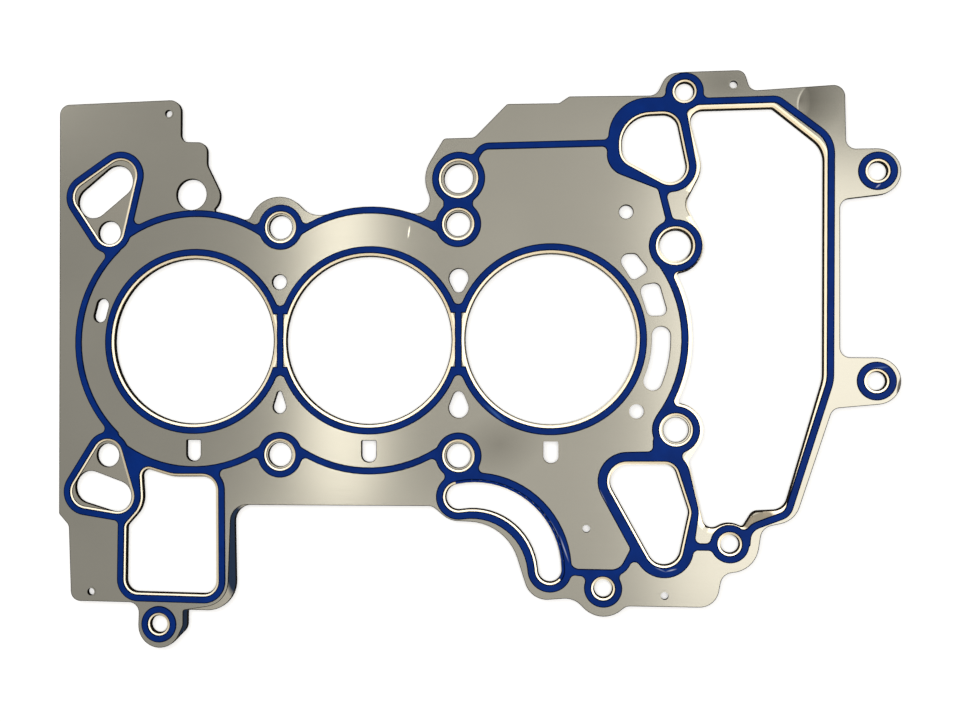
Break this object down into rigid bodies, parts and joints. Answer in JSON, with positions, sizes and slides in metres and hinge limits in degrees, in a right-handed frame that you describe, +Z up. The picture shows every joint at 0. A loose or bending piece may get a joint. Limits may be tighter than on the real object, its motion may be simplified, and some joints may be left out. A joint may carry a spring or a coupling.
{
  "type": "cylinder head gasket",
  "caption": "Flat layered steel cylinder head gasket in line form, with blue elastomer beads round its bores, passages and chain case opening.",
  "frame": {"origin": "centre of the middle bore, on the plane the gasket rests on", "axes": "+X along the cylinder row to the chain case, +Z up out of the sheet"},
  "size_m": [0.4226, 0.2866, 0.0025],
  "materials": {
    "sheet_steel": "satin",
    "carrier_steel": "satin",
    "stopper_steel": "satin",
    "eyelet_steel": "satin",
    "blue_elastomer": "satin"
  },
  "bodies": {
    "root": {"top_sheet": "sheet_steel", "carrier": "carrier_steel", "bore_stoppers": "stopper_steel", "eyelets": "eyelet_steel", "bore_bead_top": "blue_elastomer", "passage_bead_top": "blue_elastomer", "lug_bead_top": "blue_elastomer", "bore_bead_bottom": "blue_elastomer", "passage_bead_bottom": "blue_elastomer", "lug_bead_bottom": "blue_elastomer"}
  },
  "joints": []
}
